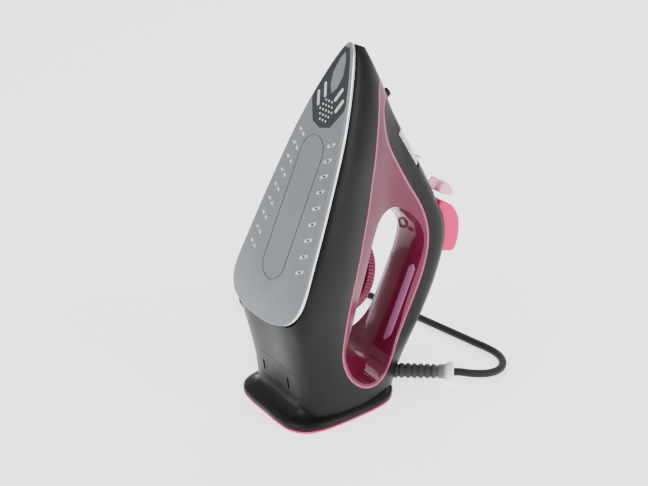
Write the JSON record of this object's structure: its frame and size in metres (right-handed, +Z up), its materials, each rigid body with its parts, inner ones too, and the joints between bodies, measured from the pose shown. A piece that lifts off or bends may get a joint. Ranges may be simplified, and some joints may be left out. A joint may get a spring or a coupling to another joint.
{
  "type": "steam iron",
  "caption": "Upright clothes iron with a pointed grey steam soleplate, black housing, clear pink water tank around a closed hand opening, dial, lever, buttons, fill flap and mains cord",
  "frame": {"origin": "middle of the flat heel face the iron stands on, on the floor plane", "axes": "+Z up from the heel to the soleplate tip, +Y from the soleplate side to the handle side, +X across the iron"},
  "size_m": [0.2616, 0.2158, 0.2863],
  "materials": {
    "black_plastic": "semi-gloss black moulded plastic",
    "tank_pink": "clear magenta pink moulded plastic",
    "bright_pink": "bright pink moulded plastic",
    "lever_pink": "pale clear pink plastic",
    "base_pink": "pink moulded plastic",
    "dial_magenta": "clear magenta plastic with a knurled rim",
    "clear_door": "clear plastic",
    "lamp_red": "clear red lamp lens",
    "pump_white": "off-white plastic",
    "sole_coating": "satin grey ceramic coating on metal",
    "tip_dark": "dark printed metal panel",
    "cast_aluminium": "cast aluminium, polished edge",
    "steel": "bright steel",
    "brass": "plain brass",
    "ceramic": "white ceramic",
    "rubber_black": "black rubber sheath"
  },
  "bodies": {
    "iron_body": {"sole_face": "sole_coating", "sole_tip_panel": "tip_dark", "sole_casting": "cast_aluminium", "heating_element": "steel", "element_pin_a": "brass", "element_pin_b": "brass", "steam_chamber_cover": "steel", "heat_shield": "steel", "thermostat_body": "ceramic", "thermostat_bimetal": "brass", "thermal_fuse": "ceramic", "drip_valve_body": "brass", "valve_rod": "steel", "spray_pump": "pump_white", "steam_pump": "pump_white", "spray_nozzle": "black_plastic", "nozzle_insert": "steel", "pilot_lamp": "lamp_red", "heel_base_plate": "base_pink", "base_screw_1": "steel", "base_screw_2": "steel", "base_screw_3": "steel", "terminal_block": "ceramic", "terminal_screw_1": "brass", "terminal_screw_2": "brass", "terminal_screw_3": "brass", "cord_clamp": "black_plastic", "lower_housing": "black_plastic", "rear_cover": "black_plastic", "water_tank": "tank_pink", "handle_cover": "black_plastic", "cord_run": "rubber_black", "cord_coil": "rubber_black", "cord_tail": "rubber_black", "plug_body": "rubber_black", "plug_pin_a": "steel", "plug_pin_b": "steel", "cord_tie": "rubber_black"},
    "fill_door": {"fill_door": "clear_door"},
    "dial": {"temperature_dial": "dial_magenta", "dial_cap": "dial_magenta", "dial_shaft": "steel"},
    "steam_lever": {"steam_lever": "lever_pink"},
    "spray_control": {"spray_button": "bright_pink", "spray_plunger": "pump_white"},
    "steam_control": {"steam_button": "bright_pink", "steam_plunger": "pump_white"},
    "cord_outlet": {"strain_relief": "rubber_black", "swivel_collar": "black_plastic"}
  },
  "joints": [
    {"name": "fill_door_hinge", "type": "hinge", "parent": "iron_body", "child": "fill_door", "pos_m": [0, 0.09121, 0.18576], "axis": [-1, 0, 0], "range_deg": [0, 70]},
    {"name": "dial_turn", "type": "hinge", "parent": "iron_body", "child": "dial", "pos_m": [0, 0.02557, 0.10144], "axis": [0, 0.9135, -0.4067], "range_deg": [-140, 140]},
    {"name": "steam_lever_slide", "type": "slide", "parent": "iron_body", "child": "steam_lever", "axis": [1, 0, 0], "range_m": [-0.0055, 0.0055]},
    {"name": "spray_press", "type": "slide", "parent": "iron_body", "child": "spray_control", "axis": [0, -1, 0], "range_m": [0, 0.0035], "stiffness_N_per_m": 400},
    {"name": "steam_press", "type": "slide", "parent": "iron_body", "child": "steam_control", "axis": [0, -1, 0], "range_m": [0, 0.0035], "stiffness_N_per_m": 400},
    {"name": "cord_swivel", "type": "hinge", "parent": "iron_body", "child": "cord_outlet", "pos_m": [0.016, 0.053, 0.011], "axis": [0.6198, 0.7848, 0], "range_deg": [-90, 90]}
  ]
}
